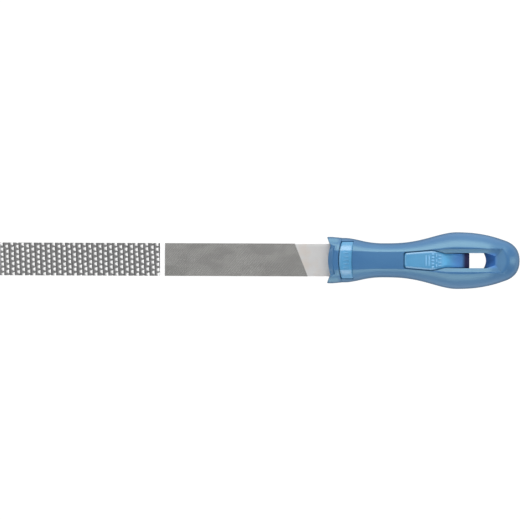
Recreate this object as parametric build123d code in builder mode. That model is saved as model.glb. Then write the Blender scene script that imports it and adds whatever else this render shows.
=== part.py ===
from build123d import *
from math import cos, radians, sin
import os

# Flat hand file: a hardened steel blank in a two-shot moulded handle.
#
# The blank is one forging: a blunt flat blade, a heel, and a tapered tang. The
# handle is two mouldings. A hard core holds the tang in a tapered socket, shows
# as a band behind the flared collar, and comes out again as a tongue that ramps
# down to the hanging hole. A softer grip is moulded round it.
#
# Frame: +X runs from the blade's tip to the handle's tail, +Y across the blade,
# +Z out of its flat face. The origin is the middle of the whole file, on its
# axis. Lengths along X are written from the handle's front plane, which the
# collar's ears touch, and at() moves them into the frame. Sizes are millimetres.

# --- blade -----------------------------------------------------------------
BLADE_REACH = 199.4  # tip to the handle's front plane
BLADE_WIDTH = 20.0
BLADE_THICKNESS = 5.0
BLADE_EDGE_BREAK = 0.35  # chamfer along the blade's long corners
TIP_CORNER_RADIUS = 0.6
LAND_WIDTH = 2.8  # plain ground land between the two cuts
LAND_DEPTH = 0.3
LAND_AHEAD = 100.3  # from the land's middle to the front plane

# --- heel and tang ---------------------------------------------------------
HEEL_INSERT = 4.0  # how far the full-width blade goes into the handle
SHOULDER_RUN = 5.5  # the slope from the blade's width to the tang's
TANG_ROOT_WIDTH = 10.5
TANG_TIP_WIDTH = 4.2
TANG_TIP_THICKNESS = 2.8
TANG_LENGTH = 50.0  # from the end of the shoulder's slope
TANG_FIT = 0.1  # gap round the heel and the tang, on each face
SOCKET_END_GAP = 2.0  # free length past the tang's tip

# --- handle, outer form ----------------------------------------------------
COLLAR_WALL = 4.15  # from the blade's edge out to the ear's tip
COLLAR_HALF_HEIGHT = 12.0
COLLAR_FACET = 5.8  # half width of the flat along the top, at the collar
WAIST_X = 37.2
WAIST_WALL = 0.4  # the waist's half width beyond the blade's
WAIST_HALF_HEIGHT = 9.3
WAIST_FACET = 5.2
BULGE_X = 81.0
BULGE_HALF_WIDTH = 17.35
BULGE_HALF_HEIGHT = 13.6
BULGE_FACET = 8.0
TAIL_X = 104.5  # centre of the round end
TAIL_RADIUS = 13.2
TAIL_HALF_HEIGHT = 11.2
TAIL_FACET = 6.2
TAIL_FIRST_ANGLE = 16.0  # where the sections take up the round end, degrees
TAIL_LAST_ANGLE = 81.0
TAIL_SECTIONS = 6
SPAN_SECTIONS = 4  # sections between two of the places above

# --- collar's front edge ---------------------------------------------------
EAR_DEPTH = 2.0  # from the ears' tips back to the valleys beside the blade
EAR_VALLEY_INSET = 1.2  # from the blade's edge in to the valley
BROW_BACK = 0.6  # from the ears' tips back to the collar's middle

# --- windows where the core shows ------------------------------------------
SEAM = 0.5  # shadow gap round each window, cut into the grip
SEAM_DEPTH = 1.0
CORE_RECESS = 0.25  # the core's faces lie this far below the grip's
BAND_X = 7.6  # the band's front edge, on the axis
BAND_END_X = 15.4
BAND_SIDE = 2.75  # from the ear's tip in to the band's side edge
BAND_BOW = 1.8  # how far the front edge falls back at its corners
BAND_BACK_BOW = 1.0  # the same at its back edge
TONGUE_X = 46.9
TONGUE_NOSE_HALF = 4.6
TONGUE_NOSE_RADIUS = 1.2
TONGUE_WIDE_X = 64.4
TONGUE_WIDE_HALF = 6.2
TONGUE_NECK_X = 72.0
TONGUE_TIP_HALF_HEIGHT = 1.6
TONGUE_RAMP_RATIO = 0.6  # height at the neck, as a share of the bulge's

# --- hanging hole and the bowls above and below it --------------------------
HOLE_X = 86.8  # the hole's end at the tongue's tip
HOLE_END_X = 97.3
HOLE_HALF_WIDTH = 4.65
HOLE_END_SAG = 1.8  # the hole's far end is an arc this deep
TONGUE_SIDE_GAP = 0.1
BOWL_FLOOR_HEIGHT = 10.0  # where the bowl's ledges meet the hole's walls
BOWL_FLOOR_END_X = 103.0
BOWL_RIM_X = 74.0
BOWL_RIM_HALF = 7.2
BOWL_RIM_END_X = 107.5
# The bowl's end: sections of (x, half width, height) from the hole to the tail.
BOWL_END_SECTIONS = ((95.0, 4.65, 0.5), (102.4, 2.6, 7.6), (108.4, 7.0, 10.9))

# --- core, inside the grip --------------------------------------------------
CORE_X = 3.6
CORE_NOSE_WALL = 1.4
CORE_NOSE_HALF_HEIGHT = 5.6
SPINE_HALF_WIDTH = 7.0
SPINE_HALF_HEIGHT = 6.3
SPINE_END_X = 66.0
CORE_EDGE = 1.0

# --- worked out from the sizes above ----------------------------------------
COLLAR_HALF_WIDTH = BLADE_WIDTH / 2 + COLLAR_WALL
WAIST_HALF_WIDTH = BLADE_WIDTH / 2 + WAIST_WALL
EAR_VALLEY_Y = BLADE_WIDTH / 2 - EAR_VALLEY_INSET
BAND_HALF_WIDTH = COLLAR_HALF_WIDTH - BAND_SIDE
HANDLE_LENGTH = TAIL_X + TAIL_RADIUS
FRONT_X = (BLADE_REACH - HANDLE_LENGTH) / 2
TANG_ROOT_X = HEEL_INSERT + SHOULDER_RUN
TANG_TIP_X = TANG_ROOT_X + TANG_LENGTH
TONGUE_NECK_HALF = HOLE_HALF_WIDTH - TONGUE_SIDE_GAP
THROUGH = 2 * BULGE_HALF_HEIGHT  # a cut this high passes right through
OVERRUN = 1.0  # how far a cut runs past the face that it opens


def at(x):
    """A length from the handle's front plane, as an X in the part's frame."""
    return FRONT_X + x


def ease(t):
    """Rises from 0 to 1 with level ends."""
    return t * t * (3 - 2 * t)


def between(first, last, share):
    """Every size of one section moved a share of the way to another's."""
    return [a + (b - a) * share for a, b in zip(first, last)]


def handle_sections():
    """Each section of the handle: x, half width, half height, half facet."""
    collar = (COLLAR_HALF_WIDTH, COLLAR_HALF_HEIGHT, COLLAR_FACET)
    waist = (WAIST_HALF_WIDTH, WAIST_HALF_HEIGHT, WAIST_FACET)
    bulge = (BULGE_HALF_WIDTH, BULGE_HALF_HEIGHT, BULGE_FACET)
    tail = (TAIL_RADIUS, TAIL_HALF_HEIGHT, TAIL_FACET)
    turn = cos(radians(TAIL_FIRST_ANGLE))
    tail_first = [size * turn for size in tail]
    tail_first_x = TAIL_X + TAIL_RADIUS * sin(radians(TAIL_FIRST_ANGLE))
    sections = []
    for step in range(SPAN_SECTIONS):
        t = step / SPAN_SECTIONS
        sections.append((t * WAIST_X, *between(waist, collar, ease(1 - t))))
    for step in range(SPAN_SECTIONS):
        t = step / SPAN_SECTIONS
        x = WAIST_X + t * (BULGE_X - WAIST_X)
        sections.append((x, *between(waist, bulge, ease(t**1.25))))
    for step in range(SPAN_SECTIONS):
        t = step / SPAN_SECTIONS
        x = BULGE_X + t * (tail_first_x - BULGE_X)
        sections.append((x, *between(bulge, tail_first, t**2)))
    for step in range(TAIL_SECTIONS):
        share = step / (TAIL_SECTIONS - 1)
        angle = radians(TAIL_FIRST_ANGLE + share * (TAIL_LAST_ANGLE - TAIL_FIRST_ANGLE))
        x = TAIL_X + TAIL_RADIUS * sin(angle)
        sections.append((x, *[size * cos(angle) for size in tail]))
    return sections


def handle_form(inset=0.0):
    """The handle's outer form, with every section drawn in by inset."""
    with BuildPart() as form:
        for x, half_width, half_height, facet in handle_sections():
            side = half_width - inset
            top = half_height - inset
            edge = facet - inset / 2
            with BuildSketch(Plane.YZ.offset(at(x))):
                with BuildLine():
                    Line((-edge, top), (edge, top))
                    ThreePointArc((edge, top), (side, 0), (edge, -top))
                    Line((edge, -top), (-edge, -top))
                    ThreePointArc((-edge, -top), (-side, 0), (-edge, top))
                make_face()
        loft()
    return form.part


def blank_form(front, gap=0.0, end_gap=0.0):
    """Blade, sloped shoulders and tapered tang, grown by a gap on each face."""
    heel = (HEEL_INSERT + gap, BLADE_WIDTH, BLADE_THICKNESS)
    root = (TANG_ROOT_X + gap, TANG_ROOT_WIDTH, BLADE_THICKNESS)
    tip = (TANG_TIP_X + end_gap, TANG_TIP_WIDTH, TANG_TIP_THICKNESS)
    with BuildPart() as form:
        with BuildSketch(Plane.YZ.offset(at(front))):
            Rectangle(BLADE_WIDTH + 2 * gap, BLADE_THICKNESS + 2 * gap)
        extrude(amount=HEEL_INSERT + gap - front)
        for ends in ((heel, root), (root, tip)):
            for x, width, thickness in ends:
                with BuildSketch(Plane.YZ.offset(at(x))):
                    Rectangle(width + 2 * gap, thickness + 2 * gap)
            loft(ruled=True)
    return form.part


def band_column(grow=0.0):
    """The band's window right through, with both its edges bowed forward."""
    half = BAND_HALF_WIDTH + grow
    front = at(BAND_X - grow)
    front_corner = front + BAND_BOW
    back = at(BAND_END_X + grow)
    back_corner = back + BAND_BACK_BOW
    with BuildPart() as column:
        with BuildSketch():
            with BuildLine():
                ThreePointArc((front_corner, -half), (front, 0), (front_corner, half))
                Line((front_corner, half), (back_corner, half))
                ThreePointArc((back_corner, half), (back, 0), (back_corner, -half))
                Line((back_corner, -half), (front_corner, -half))
            make_face()
        extrude(amount=THROUGH, both=True)
    return column.part


def tongue_column(grow=0.0):
    """The tongue right through: it widens to its shoulders, then necks in."""
    nose = TONGUE_NOSE_HALF + grow
    wide = TONGUE_WIDE_HALF + grow
    neck = TONGUE_NECK_HALF + grow
    nose_x = at(TONGUE_X - grow)
    with BuildPart() as column:
        with BuildSketch():
            with BuildLine():
                Polyline(
                    (nose_x, -nose),
                    (nose_x, nose),
                    (at(TONGUE_WIDE_X), wide),
                    (at(TONGUE_NECK_X), neck),
                    (at(HOLE_X), neck),
                    (at(HOLE_X), -neck),
                    (at(TONGUE_NECK_X), -neck),
                    (at(TONGUE_WIDE_X), -wide),
                    close=True,
                )
            face = make_face()
            fillet(face.vertices().group_by(Axis.X)[0], radius=TONGUE_NOSE_RADIUS)
        extrude(amount=THROUGH, both=True)
    return column.part


def bowl_level(height, start_half, rim_half, end_x):
    """One level of the bowl: it opens from the tongue's shoulders to its rim."""
    start_x = at(TONGUE_WIDE_X)
    with BuildSketch(Plane.XY.offset(height)) as level:
        with BuildLine():
            Polyline(
                (start_x, -start_half),
                (start_x, start_half),
                (at(BOWL_RIM_X), rim_half),
                (at(end_x), rim_half),
                (at(end_x), -rim_half),
                (at(BOWL_RIM_X), -rim_half),
                close=True,
            )
        make_face()
    return level.sketch


def bowl_cutter(side):
    """The bowl above (side 1) or below (side -1) the hole, flaring to its rim."""
    neck = TONGUE_NECK_HALF
    with BuildPart() as cutter:
        add(bowl_level(side * BOWL_FLOOR_HEIGHT, neck, HOLE_HALF_WIDTH, BOWL_FLOOR_END_X))
        rim_level = side * (BULGE_HALF_HEIGHT + OVERRUN)
        add(bowl_level(rim_level, TONGUE_WIDE_HALF, BOWL_RIM_HALF, BOWL_RIM_END_X))
        loft(ruled=True)
    return cutter.part


def bowl_end_cutter(side):
    """The steep end wall past the hole, and the ramp that runs out in the tail."""
    with BuildPart() as cutter:
        for x, half, height in BOWL_END_SECTIONS:
            with BuildSketch(Plane.YZ.offset(at(x))):
                with BuildLine():
                    Polyline(
                        (-half, side * height),
                        (half, side * height),
                        (half, side * (BULGE_HALF_HEIGHT + OVERRUN)),
                        (-half, side * (BULGE_HALF_HEIGHT + OVERRUN)),
                        close=True,
                    )
                make_face()
        loft(ruled=True)
    return cutter.part


os.makedirs("parts", exist_ok=True)

# The steel blank, with the land ground across both flat faces.
with BuildPart() as file_blank:
    add(blank_form(-BLADE_REACH))
    chamfer(file_blank.edges().filter_by(Axis.X), length=BLADE_EDGE_BREAK)
    tip_face = file_blank.faces().sort_by(Axis.X)[0]
    fillet(tip_face.edges().filter_by(Axis.Z), radius=TIP_CORNER_RADIUS)
    for face_height in (BLADE_THICKNESS / 2, -BLADE_THICKNESS / 2):
        with Locations((at(-LAND_AHEAD), 0, face_height)):
            Box(LAND_WIDTH, 2 * BLADE_WIDTH, 2 * LAND_DEPTH, mode=Mode.SUBTRACT)
file_blank.part.label = "file_blank"
export_step(file_blank.part, "parts/file_blank.step")

# The tongue's side view: level to its shoulders, then down to its tip at the hole.
RAMP_TOP_X = TONGUE_WIDE_X - 2.0
RAMP_NECK_HEIGHT = TONGUE_RAMP_RATIO * BULGE_HALF_HEIGHT
RAMP_SLOPES = ((1, -0.2), (1, -0.35))

# The hard core: nose round the heel, band, spine, tongue, and the tang's socket.
with BuildPart() as handle_core:
    add(tongue_column())
    with BuildSketch(Plane.XZ):
        with BuildLine():
            ramp = Spline(
                (at(RAMP_TOP_X), BULGE_HALF_HEIGHT),
                (at(TONGUE_NECK_X), RAMP_NECK_HEIGHT),
                (at(HOLE_X), TONGUE_TIP_HALF_HEIGHT),
                tangents=RAMP_SLOPES,
            )
            mirror(ramp, about=Plane.XZ)
            Line((at(HOLE_X), TONGUE_TIP_HALF_HEIGHT), (at(HOLE_X), -TONGUE_TIP_HALF_HEIGHT))
            Polyline(
                (at(RAMP_TOP_X), BULGE_HALF_HEIGHT),
                (at(TONGUE_X) - OVERRUN, BULGE_HALF_HEIGHT),
                (at(TONGUE_X) - OVERRUN, -BULGE_HALF_HEIGHT),
                (at(RAMP_TOP_X), -BULGE_HALF_HEIGHT),
            )
        make_face()
    extrude(amount=BULGE_HALF_WIDTH, both=True, mode=Mode.INTERSECT)
    add(band_column())
    add(handle_form(CORE_RECESS), mode=Mode.INTERSECT)
    nose_width = BLADE_WIDTH + 2 * (TANG_FIT + CORE_NOSE_WALL)
    with BuildSketch(Plane.YZ.offset(at(CORE_X))):
        RectangleRounded(nose_width, 2 * CORE_NOSE_HALF_HEIGHT, CORE_EDGE)
    extrude(amount=BAND_END_X - CORE_X)
    with BuildSketch(Plane.YZ.offset(at(BAND_END_X))):
        RectangleRounded(2 * SPINE_HALF_WIDTH, 2 * SPINE_HALF_HEIGHT, CORE_EDGE)
    extrude(amount=SPINE_END_X - BAND_END_X)
    add(blank_form(-OVERRUN, TANG_FIT, SOCKET_END_GAP), mode=Mode.SUBTRACT)
handle_core.part.label = "handle_core"
export_step(handle_core.part, "parts/handle_core.step")

# The shadow gaps round the band and the tongue, cut only as deep as they show.
with BuildPart() as seams:
    add(band_column(SEAM))
    add(tongue_column(SEAM))
    add(handle_form(SEAM_DEPTH), mode=Mode.SUBTRACT)

# The soft grip: the handle's form less its ears, the bowls, the hole and the core.
with BuildPart() as handle_grip:
    add(handle_form())
    with BuildSketch():
        with BuildLine():
            Spline(
                (at(0), COLLAR_HALF_WIDTH),
                (at(EAR_DEPTH), EAR_VALLEY_Y),
                (at(BROW_BACK), 0),
                (at(EAR_DEPTH), -EAR_VALLEY_Y),
                (at(0), -COLLAR_HALF_WIDTH),
            )
            Polyline(
                (at(0), -COLLAR_HALF_WIDTH),
                (at(-OVERRUN), -COLLAR_HALF_WIDTH - OVERRUN),
                (at(-OVERRUN), COLLAR_HALF_WIDTH + OVERRUN),
                (at(0), COLLAR_HALF_WIDTH),
            )
        make_face()
    extrude(amount=THROUGH, both=True, mode=Mode.SUBTRACT)
    with BuildSketch():
        with BuildLine():
            far_side = at(HOLE_END_X - HOLE_END_SAG)
            Polyline(
                (far_side, HOLE_HALF_WIDTH),
                (at(TONGUE_NECK_X), HOLE_HALF_WIDTH),
                (at(TONGUE_NECK_X), -HOLE_HALF_WIDTH),
                (far_side, -HOLE_HALF_WIDTH),
            )
            ThreePointArc(
                (far_side, -HOLE_HALF_WIDTH),
                (at(HOLE_END_X), 0),
                (far_side, HOLE_HALF_WIDTH),
            )
        make_face()
    extrude(amount=THROUGH, both=True, mode=Mode.SUBTRACT)
    add(tongue_column(), mode=Mode.SUBTRACT)
    for side in (1, -1):
        add(bowl_cutter(side), mode=Mode.SUBTRACT)
        add(bowl_end_cutter(side), mode=Mode.SUBTRACT)
    add(seams.part, mode=Mode.SUBTRACT)
    add(blank_form(-OVERRUN, TANG_FIT, SOCKET_END_GAP), mode=Mode.SUBTRACT)
    add(handle_core.part, mode=Mode.SUBTRACT)
handle_grip.part.label = "handle_grip"
export_step(handle_grip.part, "parts/handle_grip.step")
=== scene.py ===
"""Looks of the flat hand file: a cut steel blade in a two-shot moulded handle.

The blade is shown as closed plates that meet edge to edge: a rasp cut and a
fine double cut on opposite faces, a plain ground land between them, and the
heel with its tang. The handle is a soft grip shell round a hard core, whose
band, tongue and socket show. Every surface is a function of two parameters,
worked out with numpy as whole arrays, in millimetres from the handle's front
plane, and set into the frame in metres.
"""

import logging
import math
from dataclasses import dataclass, field
from enum import Enum
from typing import Any, Dict, List, Optional, Sequence, Tuple, Union

import bmesh
import bpy
import numpy as np
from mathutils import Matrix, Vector


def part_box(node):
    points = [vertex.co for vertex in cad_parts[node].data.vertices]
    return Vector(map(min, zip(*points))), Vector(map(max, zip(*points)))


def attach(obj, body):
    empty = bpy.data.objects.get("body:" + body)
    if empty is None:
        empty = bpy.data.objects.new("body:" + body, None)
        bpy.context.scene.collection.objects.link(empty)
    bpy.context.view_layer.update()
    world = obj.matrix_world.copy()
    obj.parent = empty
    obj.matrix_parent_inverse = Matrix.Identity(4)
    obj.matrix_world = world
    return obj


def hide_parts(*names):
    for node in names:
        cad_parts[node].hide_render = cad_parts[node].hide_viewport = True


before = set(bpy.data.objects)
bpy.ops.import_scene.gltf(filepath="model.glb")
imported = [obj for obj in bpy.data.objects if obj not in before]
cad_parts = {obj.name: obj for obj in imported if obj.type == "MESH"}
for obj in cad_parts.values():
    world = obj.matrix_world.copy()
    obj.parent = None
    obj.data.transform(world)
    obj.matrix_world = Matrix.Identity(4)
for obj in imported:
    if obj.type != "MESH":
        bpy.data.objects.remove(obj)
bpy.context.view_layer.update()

LOG = logging.getLogger("flat_file")
MM = 0.001
Colour = Tuple[float, float, float]
Array = np.ndarray


class Side(Enum):
    """Which flat face of the blade a cut is on."""

    TOP = 1
    UNDER = -1


class Cut(Enum):
    """The two kinds of teeth on the blade."""

    RASP = "rasp"
    FINE = "fine"


# ---------------------------------------------------------------------------
# Small mathematics shared by the shapes
# ---------------------------------------------------------------------------


def ease(t: Array) -> Array:
    """Rises from 0 to 1 with level ends, held at both ends outside 0 to 1."""
    t = np.clip(t, 0.0, 1.0)
    return t * t * (3.0 - 2.0 * t)


def mix(a: Array, b: Array, share: Array) -> Array:
    """Goes from a to b as share goes from 0 to 1."""
    return a + (b - a) * share


def steps(first: float, last: float, pitch: float) -> Array:
    """Evenly spaced values from first to last, about pitch apart."""
    count = max(2, int(round(abs(last - first) / pitch)) + 1)
    return np.linspace(first, last, count)


def scatter(count: int, seed: int) -> Array:
    """Seeded random values between -1 and 1."""
    return np.random.default_rng(seed).uniform(-1.0, 1.0, count)


# ---------------------------------------------------------------------------
# Meshes from grids
# ---------------------------------------------------------------------------


@dataclass
class Sheet:
    """Points and faces of one surface, with values carried by its points.

    Attributes:
        points: Every point, one row each, in millimetres.
        quads: Corner numbers of the four-sided faces.
        rings: Further faces with any number of corners.
        values: Named values, one for each point.
    """

    points: Array
    quads: Array
    rings: List[List[int]] = field(default_factory=list)
    values: Dict[str, Array] = field(default_factory=dict)

    def joined(self, other: "Sheet") -> "Sheet":
        """Puts another surface's points and faces after this one's.

        Args:
            other: The surface to put after this one.

        Returns:
            Both surfaces in one.
        """
        shift = len(self.points)
        values = {name: np.concatenate([v, other.values[name]]) for name, v in self.values.items()}
        rings = self.rings + [[corner + shift for corner in ring] for ring in other.rings]
        return Sheet(
            np.vstack([self.points, other.points]),
            np.vstack([self.quads, other.quads + shift]),
            rings,
            values,
        )


def grid_quads(rows: int, columns: int) -> Array:
    """Corner numbers of the quads of a grid whose points run row by row.

    Args:
        rows: How many rows of points there are.
        columns: How many points each row has.

    Returns:
        One row of four corner numbers for each quad.
    """
    first = np.arange(rows - 1)[:, None] * columns + np.arange(columns - 1)[None, :]
    first = first.ravel()
    return np.stack([first, first + 1, first + columns + 1, first + columns], axis=1)


def grid_sheet(x: Array, y: Array, z: Array, values: Optional[Dict[str, Array]] = None) -> Sheet:
    """A surface from three arrays of the same two-way shape.

    Args:
        x: Each point's place along the tool.
        y: Each point's place across it.
        z: Each point's height.
        values: Numbers that the points carry, by name.

    Returns:
        The surface, with its quads in grid order.
    """
    x, y, z = np.broadcast_arrays(x, y, z)
    points = np.stack([x.ravel(), y.ravel(), z.ravel()], axis=1)
    carried = {name: np.broadcast_to(v, x.shape).ravel() for name, v in (values or {}).items()}
    return Sheet(points, grid_quads(*x.shape), [], carried)


def welded(sheet: Sheet, grain: float = 0.001) -> Sheet:
    """Merges points that coincide and drops faces that this leaves flat.

    Args:
        sheet: The surface to merge.
        grain: Points that round to the same multiple of this are one, in mm.

    Returns:
        The merged surface: whole quads, and the rest as three-sided rings.
    """
    keys = np.round(sheet.points / grain).astype(np.int64)
    _, first, lookup = np.unique(keys, axis=0, return_index=True, return_inverse=True)
    lookup = lookup.ravel()
    quads = lookup[sheet.quads]
    points = sheet.points[first]
    across = points[quads]
    on_centre = (np.abs(across[:, :, 1]) < grain).all(axis=1)
    repeats = quads == np.roll(quads, -1, axis=1)
    count = repeats.sum(axis=1)
    crossed = (quads[:, 0] == quads[:, 2]) | (quads[:, 1] == quads[:, 3])
    whole = quads[(count == 0) & ~crossed & ~on_centre]
    pinched = (count == 1) & ~crossed & ~on_centre
    kept = quads[pinched]
    dropped = np.argmax(repeats[pinched], axis=1)
    order = (dropped[:, None] + np.array([1, 2, 3])[None, :]) % 4
    threes = np.take_along_axis(kept, order, axis=1)
    rings = [[int(lookup[corner]) for corner in ring] for ring in sheet.rings]
    values = {name: v[first] for name, v in sheet.values.items()}
    return Sheet(points, whole, rings + threes.tolist(), values)


def four_ways(x: Array, y: Array, z: Array) -> Sheet:
    """A closed surface from its quarter above the flats' plane and right of the axis.

    The quarter is mirrored across and under, each copy with its faces turned
    to keep them outwards, and points on the mirror planes are merged.

    Args:
        x: The quarter's places along the tool.
        y: Its places across, none negative.
        z: Its heights, none negative.

    Returns:
        The whole surface, merged.
    """
    whole: Optional[Sheet] = None
    for across in (1.0, -1.0):
        for upright in (1.0, -1.0):
            part = grid_sheet(x, y * across, z * upright)
            if across * upright > 0:
                part.quads = part.quads[:, ::-1]
            whole = part if whole is None else whole.joined(part)
    return welded(whole)


def slab(x: Array, y: Array, z: Array, base: float, values: Dict[str, Array]) -> Sheet:
    """A closed plate: a relief on top, a flat base, and upright walls between.

    Args:
        x: Where the relief's points lie along the tool, rows running along it.
        y: Where they lie across it, columns running across.
        z: The relief's height at each point.
        base: Height of the flat base.
        values: Named values carried by the relief's points.

    Returns:
        The closed surface, with its base as long strips from edge to edge.
    """
    top = grid_sheet(x, y, z, values)
    rows, columns = z.shape
    numbers = np.arange(rows * columns).reshape(rows, columns)
    edges = [numbers[:, 0], numbers[:, -1]]
    low_points = []
    for edge in edges:
        low = top.points[edge].copy()
        low[:, 2] = base
        low_points.append(low)
    start = rows * columns
    near = np.arange(rows) + start
    far = np.arange(rows) + start + rows
    walls = [
        np.stack([edges[0][:-1], edges[0][1:], near[1:], near[:-1]], axis=1),
        np.stack([edges[1][1:], edges[1][:-1], far[:-1], far[1:]], axis=1),
        np.stack([near[:-1], near[1:], far[1:], far[:-1]], axis=1),
    ]
    ends = [
        numbers[0].tolist() + [int(far[0]), int(near[0])],
        numbers[-1][::-1].tolist() + [int(near[-1]), int(far[-1])],
    ]
    points = np.vstack([top.points] + low_points)
    carried = {}
    for name, v in top.values.items():
        carried[name] = np.concatenate([v, np.zeros(2 * rows)])
    return Sheet(points, np.vstack([top.quads] + walls), ends, carried)


class Piece:
    """One visible piece: builds its mesh and tells the frame what it is."""

    def __init__(self, name: str, sheet: Sheet, offset: float) -> None:
        """Makes the object.

        Args:
            name: The piece's name.
            sheet: Its surface, in millimetres from the handle's front plane.
            offset: The front plane's place along the tool, in metres.
        """
        mesh = bpy.data.meshes.new(name)
        points = sheet.points * MM
        points[:, 0] += offset
        mesh.from_pydata(points.tolist(), [], sheet.quads.tolist() + sheet.rings)
        for value_name, values in sheet.values.items():
            attribute = mesh.attributes.new(value_name, "FLOAT", "POINT")
            attribute.data.foreach_set("value", np.ascontiguousarray(values, np.float32))
        mesh.update()
        self.obj = bpy.data.objects.new(name, mesh)
        bpy.context.scene.collection.objects.link(self.obj)
        self._face_outwards()

    def _face_outwards(self) -> None:
        """Turns every face of the closed surface to point out."""
        work = bmesh.new()
        work.from_mesh(self.obj.data)
        bmesh.ops.recalc_face_normals(work, faces=work.faces)
        work.to_mesh(self.obj.data)
        work.free()

    def smooth(self, crease: float) -> "Piece":
        """Shades smoothly, apart from edges that turn by more than crease degrees.

        Args:
            crease: The smallest turn that stays sharp, in degrees.

        Returns:
            This piece.
        """
        mesh = self.obj.data
        mesh.polygons.foreach_set("use_smooth", np.ones(len(mesh.polygons), bool))
        mesh.set_sharp_from_angle(angle=math.radians(crease))
        return self

    def finish(self, finish: "Finish", body: str, node: str, slot: str) -> "Piece":
        """Dresses the piece, attaches it to its body and hides the CAD node that it stands for.

        Args:
            finish: What the surface is made of.
            body: The body that it belongs to.
            node: The CAD node that it stands for.
            slot: Not used.

        Returns:
            This piece.
        """
        self.obj.data.materials.append(finish.material())
        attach(self.obj, body)
        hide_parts(node)
        LOG.info("%s: %d faces on %s", self.obj.name, len(self.obj.data.polygons), body)
        return self


# ---------------------------------------------------------------------------
# Shader trees written as expressions
# ---------------------------------------------------------------------------


class Wire:
    """An output socket that sums, differences and products can be written on."""

    def __init__(self, tree: "Tree", socket: bpy.types.NodeSocket) -> None:
        """Wraps one socket of a tree."""
        self.tree = tree
        self.socket = socket

    def _math(self, operation: str, first: Any, second: Any, clamp: bool = False) -> "Wire":
        """Adds a Math node on two numbers or wires."""
        settings = {"operation": operation, "use_clamp": clamp}
        return self.tree.add("ShaderNodeMath", settings, {0: first, 1: second})

    def __add__(self, other: Any) -> "Wire":
        """This wire plus other."""
        return self._math("ADD", self, other)

    def __radd__(self, other: Any) -> "Wire":
        """Other plus this wire."""
        return self._math("ADD", other, self)

    def __sub__(self, other: Any) -> "Wire":
        """This wire minus other."""
        return self._math("SUBTRACT", self, other)

    def __rsub__(self, other: Any) -> "Wire":
        """Other minus this wire."""
        return self._math("SUBTRACT", other, self)

    def __mul__(self, other: Any) -> "Wire":
        """This wire times other."""
        return self._math("MULTIPLY", self, other)

    def __rmul__(self, other: Any) -> "Wire":
        """Other times this wire."""
        return self._math("MULTIPLY", other, self)

    def magnitude(self) -> "Wire":
        """This wire without its sign."""
        return self._math("ABSOLUTE", self, 0.0)

    def clamped(self) -> "Wire":
        """This wire held between 0 and 1."""
        return self._math("ADD", self, 0.0, clamp=True)

    def band(self, low: float, high: float) -> "Wire":
        """Goes from 0 at low to 1 at high, in a smooth step.

        Args:
            low: Where the step starts.
            high: Where it ends.

        Returns:
            The step's output.
        """
        settings = {"interpolation_type": "SMOOTHSTEP"}
        inputs = {"Value": self, "From Min": low, "From Max": high}
        return self.tree.add("ShaderNodeMapRange", settings, inputs, "Result")


class Tree:
    """One material's node tree round its Principled shader."""

    def __init__(self, name: str) -> None:
        """Starts a material with a Principled shader and its output.

        Args:
            name: The material's name.
        """
        self.material = bpy.data.materials.new(name)
        self.material.use_nodes = True
        self.nodes = self.material.node_tree.nodes
        self.links = self.material.node_tree.links
        self.shader = self.nodes["Principled BSDF"]

    def add(
        self,
        kind: str,
        settings: Optional[Dict[str, Any]] = None,
        inputs: Optional[Dict[Union[int, str], Any]] = None,
        output: Union[int, str] = 0,
    ) -> Wire:
        """Adds a node: its settings first, then its sockets' values or wires.

        Args:
            kind: The node's type name.
            settings: Attributes of the node.
            inputs: Socket names or numbers with numbers, colours or wires.
            output: The socket that the returned wire carries.

        Returns:
            A wire from the chosen output.
        """
        node = self.nodes.new(kind)
        for key, value in (settings or {}).items():
            setattr(node, key, value)
        for key, value in (inputs or {}).items():
            if isinstance(value, Wire):
                self.links.new(value.socket, node.inputs[key])
            else:
                node.inputs[key].default_value = value
        return Wire(self, node.outputs[output])

    def place(self, scale: Sequence[float] = (1.0, 1.0, 1.0)) -> Wire:
        """Where a point lies on the object, in metres, stretched by scale."""
        where = self.add("ShaderNodeTexCoord", output="Object")
        return self.add("ShaderNodeMapping", {}, {"Vector": where, "Scale": scale})

    def along(self, axis: int) -> Wire:
        """How far along one axis a point lies, in metres."""
        where = self.add("ShaderNodeTexCoord", output="Object")
        return self.add("ShaderNodeSeparateXYZ", {}, {"Vector": where}, axis)

    def noise(self, scale: float, detail: float = 3.0, stretch: Sequence[float] = (1.0, 1.0, 1.0)) -> Wire:
        """Cloudy noise between 0 and 1; scale is in cycles to the metre."""
        inputs = {"Vector": self.place(stretch), "Scale": scale, "Detail": detail}
        return self.add("ShaderNodeTexNoise", {"noise_dimensions": "3D"}, inputs, "Fac")

    def value(self, name: str) -> Wire:
        """A value carried by the mesh's points."""
        return self.add("ShaderNodeAttribute", {"attribute_name": name}, {}, "Fac")

    def blend(self, share: Any, first: Any, second: Any) -> Wire:
        """A colour between two, by share.

        Args:
            share: How much of the second colour shows, 0 to 1.
            first: A colour or a wire.
            second: A colour or a wire.

        Returns:
            The mixed colour.
        """
        node_settings = {"data_type": "RGBA", "blend_type": "MIX"}
        colours = [c if isinstance(c, Wire) else (*c, 1.0) for c in (first, second)]
        return self.add("ShaderNodeMix", node_settings, {0: share, 6: colours[0], 7: colours[1]}, 2)

    def bump(self, height: Wire, depth: float) -> None:
        """Tilts the surface by a height between 0 and 1; depth is in millimetres."""
        inputs = {"Height": height, "Distance": depth * MM, "Strength": 1.0}
        self.feed("Normal", self.add("ShaderNodeBump", {}, inputs))

    def feed(self, name: str, value: Any) -> None:
        """Sets one of the shader's inputs to a value, or links a wire to it."""
        socket = self.shader.inputs[name]
        if isinstance(value, Wire):
            self.links.new(value.socket, socket)
        elif isinstance(value, tuple):
            socket.default_value = (*value, 1.0)
        else:
            socket.default_value = value


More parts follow.
